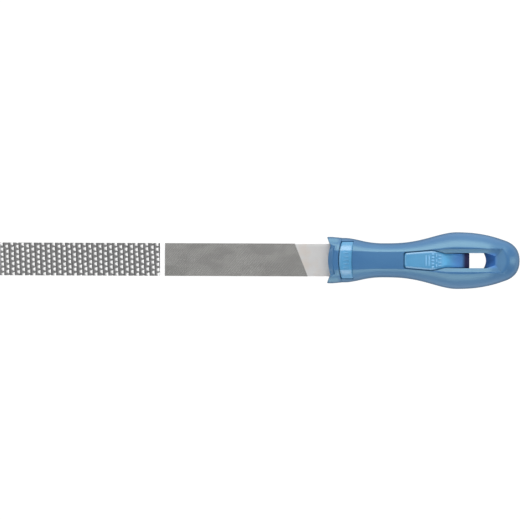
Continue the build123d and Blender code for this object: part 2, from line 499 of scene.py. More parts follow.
class Finish:
    """A surface finish. Each kind below makes its own material once."""

    _made: Dict[str, bpy.types.Material] = {}

    def name(self) -> str:
        """The material's name."""
        return type(self).__name__

    def material(self) -> bpy.types.Material:
        """The finish as a material, made the first time that it is asked for."""
        if self.name() not in Finish._made:
            tree = Tree(self.name())
            self.paint(tree)
            Finish._made[self.name()] = tree.material
        return Finish._made[self.name()]

    def paint(self, tree: Tree) -> None:
        """Builds the finish on a tree."""
        raise NotImplementedError


@dataclass(frozen=True)
class RaspSteel(Finish):
    """Punched steel: facets painted bright on a darker ground, a painted glint and painted shade on one
    steel.
    """

    # ground is painted shade and facet a painted glint, both on the same steel.
    ground: Colour = (0.165, 0.165, 0.166)
    facet: Colour = (0.92, 0.92, 0.92)

    def paint(self, tree: Tree) -> None:
        """Mixes ground and facet by the mesh's own facet value, which paints a glint on the facets and
        shade on the ground.

        Args:
            tree: The material's nodes.
        """
        facet_painted_glint = tree.value("facet")
        cloud = tree.noise(900.0)
        speck = tree.noise(5200.0, 2.0)
        dull = tree.blend(cloud, tuple(0.75 * c for c in self.ground), tuple(1.3 * c for c in self.ground))
        # Painted glint: the facets are painted near white against the darker ground.
        tree.feed("Base Color", tree.blend(facet_painted_glint, dull, self.facet))
        tree.feed("Metallic", 0.9)
        tree.feed("Roughness", (0.45 + 0.08 * facet_painted_glint + 0.1 * speck).clamped())
        tree.bump(speck, 0.03)


@dataclass(frozen=True)
class FineCutSteel(Finish):
    """Finely cut steel, a satin grey with crests painted bright and valleys painted dark, a painted
    highlight and painted shade, and faint drift.
    """

    valley: Colour = (0.26, 0.257, 0.249)
    crest: Colour = (0.46, 0.454, 0.442)
    dull: Colour = (0.22, 0.22, 0.212)

    def paint(self, tree: Tree) -> None:
        """Mixes valley and crest by the mesh's crest value, a painted highlight on the crests and painted
        shade in the valleys, with a slow drift.

        Args:
            tree: The material's nodes.
        """
        crest = tree.value("crest")
        drift = tree.noise(160.0, 3.0, (0.5, 1.0, 1.0)).band(0.4, 0.65)
        # Painted highlight and shade: crests lighter and valleys darker on one steel.
        steel = tree.blend(crest, self.valley, self.crest)
        shade = tree.blend(0.4 * drift, steel, self.dull)
        tree.feed("Base Color", shade)
        tree.feed("Metallic", 0.95)
        tree.feed("Roughness", (0.36 + 0.12 * tree.noise(4000.0)).clamped())
        tree.bump(tree.noise(9000.0, 2.0), 0.01)


@dataclass(frozen=True)
class GroundSteel(Finish):
    """Ground steel, its flats painted near white, partly its bright finish and partly a painted reflection,
    its edges painted grey as painted shade, with fine lines across the blade.
    """

    # colour is painted reflection on the flats and edge is painted shade on the edges of the same steel.
    colour: Colour = (0.97, 0.97, 0.97)
    edge: Colour = (0.30, 0.30, 0.305)

    def paint(self, tree: Tree) -> None:
        """Flats painted bright, partly a painted reflection, with grinding lines drawn out across the tool,
        and edges painted grey, painted shade.

        Args:
            tree: The material's nodes.
        """
        lines = tree.noise(3000.0, 3.0, (1.0, 0.03, 1.0))
        flats = tree.blend(lines, tuple(0.93 * c for c in self.colour), self.colour)
        # Painted reflection on the flats and painted shade on the edges of one steel.
        flat_painted_reflection = tree.along(2).magnitude().band(0.00185, 0.00205)
        tree.feed("Base Color", tree.blend(flat_painted_reflection, self.edge, flats))
        tree.feed("Metallic", (0.95 - 0.35 * flat_painted_reflection).clamped())
        tree.feed("Roughness", (0.5 + 0.1 * lines).clamped())
        tree.bump(lines, 0.004)


@dataclass(frozen=True)
class HeelSteel(Finish):
    """Plain satin steel at the heel, and dark heat scale on the tang."""

    satin: Colour = (0.73, 0.725, 0.72)
    warm: Colour = (0.73, 0.68, 0.64)
    scale: Colour = (0.09, 0.085, 0.085)
    scale_starts: float = 0.0485
    scale_full: float = 0.0535

    def paint(self, tree: Tree) -> None:
        """Mottled satin that turns to scale where the tang was heated.

        Args:
            tree: The material's nodes.
        """
        cloud = tree.noise(260.0, 4.0)
        tint = tree.noise(120.0, 2.0)
        satin = tree.blend(tint.band(0.42, 0.68), self.satin, self.warm)
        mottled = tree.blend((cloud * 0.3).clamped(), satin, (0.58, 0.58, 0.58))
        heat = (tree.along(0) + 0.004 * (cloud - 0.5)).band(self.scale_starts, self.scale_full)
        scale = tree.blend(tree.noise(700.0), self.scale, tuple(1.7 * c for c in self.scale))
        tree.feed("Base Color", tree.blend(heat, mottled, scale))
        tree.feed("Metallic", (0.95 - 0.35 * heat).clamped())
        tree.feed("Roughness", (0.46 + 0.15 * heat + 0.08 * cloud).clamped())
        tree.bump(tree.noise(1800.0, 4.0, (0.3, 1.0, 1.0)), 0.02)


@dataclass(frozen=True)
class CorePlastic(Finish):
    """Hard light-blue plastic with a soft gloss and a faint moulded flow."""

    body: Colour = (0.045, 0.223, 0.42)
    pale: Colour = (0.066, 0.258, 0.467)
    # slope and ramp are painted light, brighter blues where the tongue falls into shade; tip is painted
    # shade, near black in the hole.
    slope: Colour = (0.062, 0.36, 0.66)
    ramp: Colour = (0.11, 0.42, 0.95)
    tip: Colour = (0.007, 0.004, 0.11)
    sheen: Colour = (1.0, 1.0, 0.95)
    rough: float = 0.28
    slope_zone: Tuple[float, float] = (0.107, 0.114)
    ramp_zone: Tuple[float, float] = (0.114, 0.1215)
    tip_zone: Tuple[float, float] = (0.1225, 0.1255)

    def paint(self, tree: Tree) -> None:
        """Two near blues in slow drifts, and a fine moulded grain.

        Along the tongue the blue brightens down the slope and the ramp, painted light where it falls into
        shade, and turns nearly black at the tip in the hole, painted shade.

        Args:
            tree: The material's nodes.
        """
        drift = tree.noise(90.0, 2.0, (0.5, 1.0, 1.0))
        grain = tree.noise(3500.0, 3.0)
        blue = tree.blend(drift.band(0.35, 0.7), self.body, self.pale)
        # Painted light down the slope and the ramp, and painted shade at the tip, by place along the tool.
        ramp_painted_light = tree.along(0).band(*self.ramp_zone)
        slope_painted_light = tree.along(0).band(*self.slope_zone)
        tip_painted_shade = tree.along(0).band(*self.tip_zone)
        blue_with_painted_light = tree.blend(ramp_painted_light, tree.blend(slope_painted_light, blue, self.slope), self.ramp)
        tree.feed("Base Color", tree.blend(tip_painted_shade, blue_with_painted_light, self.tip))
        tree.feed("Roughness", (self.rough + 0.1 * grain + 0.34 * slope_painted_light).clamped())
        tree.feed("Specular IOR Level", 1.0)
        tree.feed("Specular Tint", self.sheen)
        tree.bump(grain, 0.012)


@dataclass(frozen=True)
class PolishedMarks(Finish):
    """Raised marks on the core, painted paler than the plastic round them: a painted highlight."""

    rubbed: Colour = (0.19, 0.44, 0.70)

    def paint(self, tree: Tree) -> None:
        """A paler, glossier blue that is a little uneven; the paleness is a painted highlight.

        Args:
            tree: The material's nodes.
        """
        uneven = tree.noise(1200.0, 2.0)
        # Painted highlight: the raised marks are painted paler, as if lit.
        tree.feed("Base Color", tree.blend(uneven, self.rubbed, tuple(0.8 * c for c in self.rubbed)))
        tree.feed("Roughness", 0.26)


@dataclass(frozen=True)
class GripPlastic(Finish):
    """Softer dark-blue plastic, satin, with a fine leathery grain."""

    body: Colour = (0.024, 0.100, 0.258)
    pale: Colour = (0.036, 0.124, 0.286)
    # The next colour paints a highlight on the sides of the collar's ears.
    rubbed: Colour = (0.11, 0.25, 0.37)
    # The next colour is painted light: a clearer blue on the hanging hole's end wall.
    inner: Colour = (0.035, 0.15, 0.47)
    # seam: width of the band of painted shade along the middle plane, in metres.
    seam: float = 0.0068
    sheen: Colour = (0.67, 1.0, 0.84)
    rough: float = 0.34
    collar_end: Tuple[float, float] = (0.0465, 0.049)
    ear_across: Tuple[float, float] = (0.0095, 0.0118)
    ear_height: Tuple[float, float] = (0.0025, 0.0065)
    wall_start: Tuple[float, float] = (0.1368, 0.138)
    wall_finish: Tuple[float, float] = (0.1415, 0.1455)
    wall_across: Tuple[float, float] = (0.0032, 0.0054)

    def paint(self, tree: Tree) -> None:
        """Two near blues in slow drifts, and a grain felt by the hand.

        The band along the middle plane is darker, painted shade on the sides; the sides of the
        collar's ears are painted paler, a painted highlight; and the hole's end wall is a clearer blue,
        painted light.

        Args:
            tree: The material's nodes.
        """
        drift = tree.noise(60.0, 3.0, (0.4, 1.0, 1.0))
        grain = tree.noise(2600.0, 4.0)
        blue = tree.blend(drift.band(0.3, 0.75), self.body, self.pale)
        # Painted shade: the sides are darker towards the middle plane.
        side_painted_shade = 1.0 - tree.along(2).magnitude().band(0.3 * self.seam, self.seam)
        blue_with_painted_shade_and_light = tree.blend(0.6 * side_painted_shade, blue, tuple(0.3 * c for c in self.body))
        # Painted highlight: the sides of the collar's ears are painted paler.
        at_collar = 1.0 - tree.along(0).band(*self.collar_end)
        ears = tree.along(1).magnitude().band(*self.ear_across) * at_collar
        ears = ears * tree.along(2).magnitude().band(*self.ear_height)
        blue_with_painted_shade_and_light = tree.blend(0.6 * ears, blue_with_painted_shade_and_light, self.rubbed)
        # Painted light on the hole's end wall: a clearer blue.
        wall_light_mask = tree.along(0).band(*self.wall_start) * (1.0 - tree.along(0).band(*self.wall_finish))
        wall_light_mask = wall_light_mask * (1.0 - tree.along(1).magnitude().band(*self.wall_across))
        tree.feed("Base Color", tree.blend(wall_light_mask, blue_with_painted_shade_and_light, self.inner))
        tree.feed("Roughness", (self.rough + 0.12 * grain + 0.4 * side_painted_shade).clamped())
        tree.feed("Specular IOR Level", 1.0)
        tree.feed("Specular Tint", self.sheen)
        tree.bump(grain, 0.012)


# ---------------------------------------------------------------------------
# Blade
# ---------------------------------------------------------------------------


@dataclass
class RaspTeeth:
    """Rows of punched teeth across the blade, every other column half a step on.

    Each tooth is a three-cornered facet. It starts at a point low in the
    ground, rises and widens along the tool, and ends in an upright lip. Its
    height is its rise times two smooth edges, one at its sides and one at its
    lip, and all sizes are in millimetres.
    """

    pitch_along: float = 3.16
    pitch_across: float = 3.08
    lean: float = 0.5
    point: float = -1.3
    lip: float = 0.72
    point_half: float = 0.4
    lip_half: float = 1.12
    depth: float = 0.62
    wander: float = 0.16
    seed: int = 11

    def relief(self, x: Array, y: Array) -> Tuple[Array, Array]:
        """Height below the crests, and the facet value, at points of the blade.

        Args:
            x: Distance along the cut from its end, in millimetres.
            y: Distance across the blade from its axis.

        Returns:
            The height, 0 at the crests and down to minus depth in the ground,
            and 1 on the facets fading to 0 off them, the mask of their painted glint.
        """
        along = x + self.lean * y / 10.0
        column = np.floor(along / self.pitch_along).astype(int)
        shift = scatter(256, self.seed) * self.wander
        stagger = 0.5 * (column % 2) + shift[column % 256] * 0.6
        row = np.floor(y / self.pitch_across - stagger + 0.5).astype(int)
        number = (column * 37 + row * 101) % 256
        u = along - (column + 0.5) * self.pitch_along - shift[number]
        v = y - (row + stagger) * self.pitch_across - shift[(number * 7 + 3) % 256]
        rise = np.clip((u - self.point) / (self.lip - self.point), 0.0, 1.0)
        half = mix(self.point_half, self.lip_half, rise)
        sides = ease((half - np.abs(v)) / 0.45 + 0.5)
        lip = ease((self.lip - u) / 0.25 + 0.5)
        start = ease((u - self.point) / 0.5)
        facet = sides * lip * start
        rank = ease((0.9 - u) / 0.3) * ease((u + 1.5) / 0.3)
        height = -self.depth * (1.0 - facet * mix(0.3, 1.0, rise)) - 0.12 * (1.0 - rank)
        shine = facet * mix(0.3, 1.0, rise)
        return height, np.clip(np.maximum(1.25 * shine - 0.05, 0.07 * rank), 0.0, 1.0)


@dataclass
class FineTeeth:
    """A fine double cut: a main course of chisel teeth and a first course over it.

    Along each course's own direction the height is a saw: it rises slowly and
    drops fast. The two courses cross, so the crests are small diamonds.
    """

    main_pitch: float = 0.86
    main_angle: float = 65.0
    main_depth: float = 0.15
    first_pitch: float = 1.0
    first_angle: float = -48.0
    first_depth: float = 0.08

    def course(self, x: Array, y: Array, pitch: float, angle: float) -> Array:
        """One course's height, from 0 at its roots to 1 at its crests.

        Args:
            x: Distances along the tool from the handle's front plane, in mm.
            y: Distances across the tool from its axis, in mm.
            pitch: Distance from one tooth to the next, in mm.
            angle: How far its teeth turn from straight along the tool, in degrees.

        Returns:
            The height at each point, 0 to 1: three quarters rising, one quarter falling.
        """
        turn = math.radians(angle)
        phase = (x * math.sin(turn) + y * math.cos(turn)) / pitch
        saw = phase - np.floor(phase)
        return np.where(saw < 0.75, saw / 0.75, (1.0 - saw) / 0.25)

    def relief(self, x: Array, y: Array) -> Tuple[Array, Array]:
        """Height below the crests and the crest value at points of the blade.

        Args:
            x: Distances along the tool from the handle's front plane, in mm.
            y: Distances across the tool from its axis, in mm.

        Returns:
            Heights in mm, none positive, and crest values from 0 to 1, the mask of the painted highlight on
            the crests.
        """
        main = self.course(x, y, self.main_pitch, self.main_angle)
        first = self.course(x, y, self.first_pitch, self.first_angle)
        height = -self.main_depth * (1.0 - main) - self.first_depth * (1.0 - first)
        crest = np.clip(main * 0.75 + first * 0.35 - 0.1, 0.0, 1.0)
        return height, crest


@dataclass
class Blade:
    """The steel blank: two cut zones, the land between them, heel and tang.

    Lengths along the tool are from the handle's front plane, negative towards
    the tip. The slanted end of the heel-side cut runs from heel_cut at the
    axis, back by heel_slant on one edge and on by it on the other.
    """

    tip: float = -199.4
    half_width: float = 10.0
    half_thick: float = 2.5
    land_from: float = -101.8
    land_to: float = -98.8
    land_drop: float = 0.3
    heel_cut: float = -15.7
    heel_slant: float = 4.0
    plate_gap: float = 0.01
    heel_face: float = 2.42
    heel_end: float = 4.0
    tang_root: float = 9.5
    tang_root_half: float = 5.25
    tang_tip: float = 59.5
    tang_tip_half: float = 2.1
    tang_tip_thick: float = 1.4
    rasp_grid: float = 0.2
    fine_grid: float = 0.19
    rasp: RaspTeeth = field(default_factory=RaspTeeth)
    fine: FineTeeth = field(default_factory=FineTeeth)

    def plate(self, cut: Cut, side: Side, first: float, last: float, slant: float) -> Sheet:
        """One cut face as a closed plate from the blade's middle plane outwards.

        Args:
            cut: Which teeth it carries.
            side: Which face it is on.
            first: Where it starts along the tool.
            last: Where it ends, on the axis.
            slant: How far its end runs on at one edge and back at the other.

        Returns:
            The closed plate.
        """
        grain = self.rasp_grid if cut is Cut.RASP else self.fine_grid
        teeth = self.rasp if cut is Cut.RASP else self.fine
        name = "facet" if cut is Cut.RASP else "crest"
        row = steps(first, last, grain)[:, None]
        y = steps(-self.half_width, self.half_width, grain)[None, :]
        share = (row - first) / (last - first)
        x = row - slant * share * y / self.half_width
        height, value = teeth.relief(x - first, y)
        z = (self.half_thick + height) * side.value
        return slab(x, np.broadcast_to(y, x.shape), z, 0.0, {name: value})

    def land(self) -> Sheet:
        """The plain ground land, a little below the crests, as a closed bar.

        Its section is a rectangle with rounded corners; a quarter of it is
        drawn from the middle of the flat to the middle of the edge.

        Returns:
            The land's surface.
        """
        half = self.half_width - 0.05
        face = self.half_thick - self.land_drop
        return self._bar(
            np.array([self.land_from, self.land_to]), np.array([half] * 2), np.array([face] * 2), 0.3
        )

    def _bar(self, x: Array, half: Array, face: Array, corner: float) -> Sheet:
        """A closed bar of rounded rectangular section with given half sizes.

        Args:
            x: Distances along the tool from the handle's front plane, in mm.
            half: Half width at each of those places.
            face: Half thickness at each of them.
            corner: Radius of the long edges.

        Returns:
            The bar's surface, with both ends closed.
        """
        turn = np.linspace(0.0, math.pi / 2, 5)[None, :]
        flat = np.linspace(0.0, 1.0, 6)[None, :-1]
        half = half[:, None]
        face = face[:, None]
        round_y = half - corner + corner * np.sin(turn)
        round_z = face - corner + corner * np.cos(turn)
        y = np.hstack([flat * (half - corner), round_y, half * np.ones_like(flat[:, :2])])
        drop = np.array([[0.5, 0.0]])
        z = np.hstack([face * np.ones_like(flat), round_z, (face - corner) * drop])
        y = np.vstack([y[:1], y, y[-1:]])
        z = np.vstack([z[:1] * 0.0, z, z[-1:] * 0.0])
        x = np.concatenate([x[:1], x, x[-1:]])[:, None] * np.ones_like(y)
        return four_ways(x, y, z)

    def heel(self) -> Sheet:
        """Shoulder, heel and tapered tang as one closed bar.

        Half width and half thickness are straight runs between the heel's
        places, and the first rows lean with the slanted end of the cut.

        Returns:
            The bar's surface.
        """
        places = np.array([self.heel_cut, self.heel_end, self.tang_root, self.tang_tip])
        wide = np.array([self.half_width, self.half_width, self.tang_root_half, self.tang_tip_half])
        thick = np.array([self.heel_face, self.heel_face, self.heel_face, self.tang_tip_thick])
        x = np.concatenate([steps(self.heel_cut, -4.0, 1.0), steps(-3.0, self.tang_tip, 0.6)])
        half = np.interp(x, places, wide) - 0.03
        face = np.interp(x, places, thick)
        bar = self._bar(x, half, face, 0.12)
        lean = self.heel_slant / self.half_width
        near_cut = np.clip((-4.0 - bar.points[:, 0]) / (-4.0 - self.heel_cut), 0.0, 1.0)
        bar.points[:, 0] -= lean * bar.points[:, 1] * near_cut
        return bar

    def build(self, offset: float) -> List[Piece]:
        """Makes every piece of the blade.

        Args:
            offset: The handle's front plane, in metres.

        Returns:
            The finished pieces.
        """
        gap = self.plate_gap
        tip_zone = (self.tip, self.land_from - gap, 0.0)
        heel_zone = (self.land_to + gap, self.heel_cut - gap, self.heel_slant)
        rasp_steel = RaspSteel()
        fine_steel = FineCutSteel()
        plans = (
            ("rasp_cut_top", Cut.RASP, Side.TOP, tip_zone, rasp_steel),
            ("fine_cut_top", Cut.FINE, Side.TOP, heel_zone, fine_steel),
            ("fine_cut_under", Cut.FINE, Side.UNDER, tip_zone, fine_steel),
            ("rasp_cut_under", Cut.RASP, Side.UNDER, heel_zone, rasp_steel),
        )
        pieces = []
        for name, cut, side, (first, last, slant), finish in plans:
            piece = Piece(name, self.plate(cut, side, first, last, slant), offset)
            pieces.append(piece.smooth(38.0).finish(finish, "blade", "file_blank", "blade_steel"))
        for name, sheet, finish in (
            ("blade_land", self.land(), GroundSteel()),
            ("blade_heel", self.heel(), HeelSteel()),
        ):
            piece = Piece(name, sheet, offset).smooth(40.0)
            pieces.append(piece.finish(finish, "blade", "file_blank", "blade_steel"))
        return pieces


# ---------------------------------------------------------------------------
# Handle
# ---------------------------------------------------------------------------


@dataclass
class HandleForm:
    """The handle's outer form, in millimetres from its front plane.

    A section has a nearly flat facet along the top, half of facet wide, and
    bowed sides that follow a circle from the facet's edge to the middle of
    the side. Its sizes ease from the collar to the waist, from the waist to
    the bulge, fall off with the square of the distance past the bulge, and
    follow an arc at the round tail, made blunter by a power that grows to
    2 + blunt at its end. The ears' tips flare by a share of the collar's rise.
    """

    collar: Tuple[float, float, float] = (14.15, 12.0, 5.8)
    waist_x: float = 34.5
    waist: Tuple[float, float, float] = (10.4, 9.3, 5.2)
    bulge_x: float = 79.0
    bulge: Tuple[float, float, float] = (17.3, 13.55, 8.0)
    tail_x: float = 104.5
    tail: Tuple[float, float, float] = (12.95, 11.2, 6.2)
    tail_reach: float = 13.0
    tail_angle: float = 16.0
    crown: float = 0.3
    tail_crown: float = 1.25
    flare: float = 0.16
    blunt: float = 0.7

    def tail_start(self) -> float:
        """Where the round tail takes over, along the tool."""
        return self.tail_x + self.tail_reach * math.sin(math.radians(self.tail_angle))

    def size(self, x: Array, which: int) -> Array:
        """One of a section's sizes: 0 half width, 1 half height, 2 half facet.

        Args:
            x: Distances along the tool from the handle's front plane, in mm.
            which: Which size to give, by its number above.

        Returns:
            That size at each place, in mm.
        """
        collar, waist, bulge, tail = (s[which] for s in (self.collar, self.waist, self.bulge, self.tail))
        rise = np.clip(1.0 - x / self.waist_x, 0.0, 1.0)
        tips = np.clip((rise - 0.8) / 0.13, 0.0, 1.0)
        front = mix(waist, collar, mix(ease((rise / 0.76) ** 1.15), tips, self.flare))
        swell = np.clip((x - self.waist_x) / (self.bulge_x - self.waist_x), 0.0, 1.0)
        middle = mix(waist, bulge, ease(swell**1.45))
        start = self.tail_start()
        at_start = tail * math.cos(math.radians(self.tail_angle))
        fall = np.clip((x - self.bulge_x) / (start - self.bulge_x), 0.0, 1.0)
        back = mix(bulge, at_start, fall**2.25)
        along = np.clip((x - self.tail_x) / self.tail_reach, 0.0, 1.0)
        round_end = tail * np.sqrt(1.0 - along ** (2.0 + self.blunt * along**4))
        size = np.where(x < self.waist_x, front, middle)
        size = np.where(x > self.bulge_x, back, size)
        return np.where(x > start, round_end, size)

    def top(self, x: Array, y: Array) -> Array:
        """Height of the facet at a point, crowned across, and more so at the tail.

        Args:
            x: Distances along the tool from the handle's front plane, in mm.
            y: Distances across the tool from its axis, in mm.

        Returns:
            The facet's height, in mm.
        """
        share = y / np.maximum(self.size(x, 2), 1e-6)
        crown = mix(self.crown, self.tail_crown, ease((x - 98.0) / 10.0))
        return self.size(x, 1) - np.minimum(crown, 0.12 * self.size(x, 1)) * share**2

    def circle(self, x: Array, inset: float = 0.0) -> Tuple[Array, Array]:
        """Centre and radius of the side's circle at a section.

        Args:
            x: Distances along the tool from the handle's front plane, in mm.
            inset: How far inside the outer form to work, in mm.

        Returns:
            The centre's distance from the axis, and the radius.
        """
        facet = self.size(x, 2)
        edge = self.top(x, facet) - inset
        side = self.size(x, 0) - inset
        centre = (side**2 - facet**2 - edge**2) / np.maximum(2.0 * (side - facet), 1e-6)
        return centre, side - centre

    def skin(self, x: Array, y: Array) -> Array:
        """Height of the outer form at any distance across.

        Args:
            x: Distances along the tool from the handle's front plane, in mm.
            y: Distances across the tool from its axis, in mm.

        Returns:
            The form's height, in mm: the facet's inside it, the circle's outside.
        """
        centre, radius = self.circle(x)
        bowed = np.sqrt(np.clip(radius**2 - (y - centre) ** 2, 0.0, None))
        return np.where(np.abs(y) <= self.size(x, 2), self.top(x, y), bowed)


@dataclass
class Core:
    """The hard core's visible parts: band, tongue and the tang's socket."""

    form: HandleForm
    recess: float = 0.25
    band_x: float = 7.2
    band_end: float = 15.0
    band_half: float = 11.1
    band_bow: float = 1.8
    band_back_bow: float = 1.0
    tongue_x: float = 46.9
    nose_half: float = 4.55
    nose_round: float = 1.5
    wide_x: float = 64.4
    wide_half: float = 6.0
    neck_x: float = 72.0
    neck_half: float = 4.3
    hole_x: float = 86.8
    tip_half: float = 1.6
    ramp_x: float = 63.5
    edge: float = 0.5
    bevel: float = 1.5
    bevel_drop: float = 0.42
    band_opening: Tuple[float, float] = (8.2, 3.3)
    pocket_front: Tuple[float, float] = (2.98, 1.78)
    pocket_back: Tuple[float, float] = (2.33, 1.52)
    pocket_x: float = 62.0

    def opening(self, half: Tuple[float, float], count: int) -> Tuple[Array, Array]:
        """A quarter of the socket's outline: out along its top, then down its side."""
        walk = np.linspace(0.0, 2.0, count)[None, :]
        return half[0] * np.minimum(walk, 1.0), half[1] * np.minimum(2.0 - walk, 1.0)

    def tongue_half(self, x: Array) -> Array:
        """Half of the tongue's width along it, with a rounded nose.

        Args:
            x: Distances along the tool from the handle's front plane, in mm.

        Returns:
            Half of the width at each place, in mm.
        """
        places = [self.tongue_x, self.wide_x - 1.5, self.wide_x + 0.8, self.neck_x, self.hole_x]
        wide = self.wide_half
        widths = [self.nose_half, wide - 0.1, wide - 0.2, self.neck_half, self.neck_half]
        half = np.interp(x, places, widths)
        back = np.clip(self.nose_round - (x - self.tongue_x), 0.0, self.nose_round)
        return half - self.nose_round + np.sqrt(self.nose_round**2 - back**2)

    def tongue_top(self, x: Array) -> Array:
        """Height of the tongue's face on the axis: along the form, then down the ramp.

        Args:
            x: Distances along the tool from the handle's front plane, in mm.

        Returns:
            The face's height at each place, in mm.
        """
        level = self.form.size(x, 1) - self.recess
        start = self.form.size(np.array(self.ramp_x), 1) - self.recess
        share = np.clip((x - self.ramp_x) / (self.hole_x - self.ramp_x), 0.0, 1.0)
        ramp = mix(start + 0.9 * share * (1 - share), self.tip_half, ease(share**1.12))
        return np.where(x < self.ramp_x, level, ramp)

    def tongue(self) -> Sheet:
        """The tongue as a closed wedge with rounded edges.

        Across, the face is flat, falls away in a soft bevel, turns over a round
        edge, and goes straight down to the middle plane. The last row drops to
        that plane to close it. The first rows line a pocket that the tang's end
        goes into.

        Returns:
            The tongue's surface.
        """
        x = np.concatenate([
            self.tongue_x + self.nose_round * (1 - np.cos(np.linspace(0, math.pi / 2, 9)[:-1])),
            steps(self.tongue_x + self.nose_round, self.hole_x, 0.5),
        ])[:, None]
        half = self.tongue_half(x)
        inset = np.clip((x - self.tongue_x) / self.bevel, 0.0, 1.0)
        level = np.clip((self.hole_x - 4.0 - x) / 10.0, 0.0, 1.0)
        top = self.tongue_top(x) - self.bevel_drop * (1.0 - inset) ** 2
        drop = self.bevel_drop * mix(0.3, 1.0, level)
        edge = np.minimum(self.edge, 0.6 * (top - drop))
        lead = np.clip((x - self.tongue_x) / self.edge, 0.0, 1.0)
        top = top - edge * (1.0 - np.sqrt(1.0 - (1.0 - lead) ** 2))
        flat = np.linspace(0.0, 1.0, 7)[None, :-1] * (half - self.bevel)
        slope = np.linspace(0.0, 1.0, 7)[None, :-1]
        turn = np.linspace(0.35, math.pi / 2, 6)[None, :]
        reach = self.bevel - edge * (1.0 - math.sin(0.35))
        y_slope = half - self.bevel + reach * slope
        y_round = half - edge + edge * np.sin(turn)
        y = np.hstack([flat, y_slope, y_round, half * np.ones((1, 2))])
        z_round = top - drop - edge * math.cos(0.35) + edge * np.cos(turn)
        low = z_round[:, -1:]
        z = np.hstack([top + 0.0 * flat, top - drop * slope**1.6, z_round, low * 0.5, low * 0.0])
        back_y, back_z = self.opening(self.pocket_back, y.shape[1])
        front_y, front_z = self.opening(self.pocket_front, y.shape[1])
        y = np.vstack([back_y, back_y, front_y, y, y[-1:]])
        z = np.vstack([back_z * 0.0, back_z, front_z, z, z[-1:] * 0.0])
        x = np.vstack([[[self.pocket_x]], [[self.pocket_x]], x[:1], x, x[-1:]])
        return four_ways(np.broadcast_to(x, y.shape), y, z)

    def band(self) -> Sheet:
        """The band as a closed ring whose face follows the form, set in a little.

        Its edges bow forward with the square of the distance from the axis. The
        tang passes through the ring's opening.

        Returns:
            The band's surface.
        """
        row = steps(0.0, 1.0, 0.08)[:, None]
        nominal = mix(self.band_x, self.band_end, row)
        centre, radius = self.form.circle(nominal, self.recess)
        first = np.arccos((self.form.size(nominal, 2) - centre) / radius)
        last = np.arccos(np.clip((self.band_half - centre) / radius, -1.0, 1.0))
        flat = np.linspace(0.0, 1.0, 12)[None, :-1]
        facet = self.form.size(nominal, 2)
        turn = mix(first, last, np.linspace(0.0, 1.0, 14)[None, :])
        side = self.band_half * np.ones((len(row), 2))
        y = np.hstack([flat * facet, centre + radius * np.cos(turn), side])
        z_flat = self.form.top(nominal, flat * facet) - self.recess
        z_turn = radius * np.sin(turn)
        low = z_turn[:, -1:]
        z = np.hstack([z_flat, z_turn, low * 0.5, low * 0.0])
        inward = np.clip(np.minimum(row, 1 - row) * 7.8 / 0.35, 0, 1)
        round_edge = 0.35 * (1 - np.sqrt(np.clip(1 - (1 - inward) ** 2, 0, 1)))
        z = z - round_edge * (z > 0)
        bow = mix(self.band_bow, self.band_back_bow, row)
        x = nominal + bow * (y / self.band_half) ** 2
        inner_y, inner_z = self.opening(self.band_opening, y.shape[1])
        front_x = self.band_x + self.band_bow * (inner_y / self.band_half) ** 2
        back_x = self.band_end + self.band_back_bow * (inner_y / self.band_half) ** 2
        y = np.vstack([inner_y, y, inner_y, inner_y])
        z = np.vstack([inner_z, z, inner_z, inner_z])
        x = np.vstack([front_x, x, back_x, front_x])
        return four_ways(x, y, z)

    def pills(self, spots: Array, half: Array, falls: Array) -> Sheet:
        """Small rounded bars, all in one mesh.

        Each is a ball stretched to its half sizes, with its sides squared by
        raising its sines and cosines to a power below one.

        Args:
            spots: Centres of the bars, one row each.
            half: Half sizes along, across and upright, one row each.
            falls: How far the face under each bar falls for each step along.

        Returns:
            One surface with every bar in it.
        """
        around = np.linspace(0.0, 2.0 * math.pi, 17)[None, :]
        rise = np.linspace(-math.pi / 2, math.pi / 2, 9)[:, None]

        def squared(v: Array) -> Array:
            """Keeps the sign and raises the size to a power."""
            return np.sign(v) * np.abs(v) ** 0.45

        ux = squared(np.cos(rise)) * squared(np.cos(around))
        uy = squared(np.cos(rise)) * squared(np.sin(around))
        uz = np.sin(rise) * np.ones_like(around)
        whole: Optional[Sheet] = None
        for spot, size, fall in zip(spots, half, falls):
            x = spot[0] + size[0] * ux
            y = spot[1] + size[1] * uy
            z = spot[2] + size[2] * uz - fall * size[0] * ux
            part = grid_sheet(x, y, z)
            whole = part if whole is None else whole.joined(part)
        return welded(whole)

    def ribs(self, side: Side) -> Sheet:
        """Five plain ribs on the band, side by side across the tool.

        Args:
            side: The face that carries them.

        Returns:
            All five in one surface.
        """
        across = np.array([4.4, 2.2, 0.0, -2.2, -4.4])
        middle = np.full(5, 11.4)
        height = self.form.top(middle, across) - self.recess
        spots = np.stack([middle, across, height * side.value], axis=1)
        return self.pills(spots, np.tile([1.7, 0.4, 0.24], (5, 1)), np.zeros(5))

    def marks(self, side: Side) -> Sheet:
        """Plain thumb marks on the tongue: two bars, then two rows of blocks.

        Args:
            side: The face that carries them.

        Returns:
            All of them in one surface.
        """
        plan = [(60.1, 0.0, 0.4, 3.3), (61.9, 0.0, 0.4, 3.3)]
        plan += [(64.2, y, 0.8, 0.55) for y in (-3.9, -1.95, 0.0, 1.95, 3.9)]
        plan += [(66.4, y, 0.42, 0.95) for y in (-3.0, 0.0, 3.0)]
        plan += [(68.4, y, 0.95, 0.42) for y in (-3.2, -1.1, 1.1, 3.2)]
        x, y, along, across = np.array(plan).T
        height = self.tongue_top(x) * side.value
        falls = (self.tongue_top(x - 0.2) - self.tongue_top(x + 0.2)) / 0.4 * side.value
        sizes = np.stack([along, across, np.full(len(x), 0.3)], axis=1)
        return self.pills(np.stack([x, y, height], axis=1), sizes, falls)

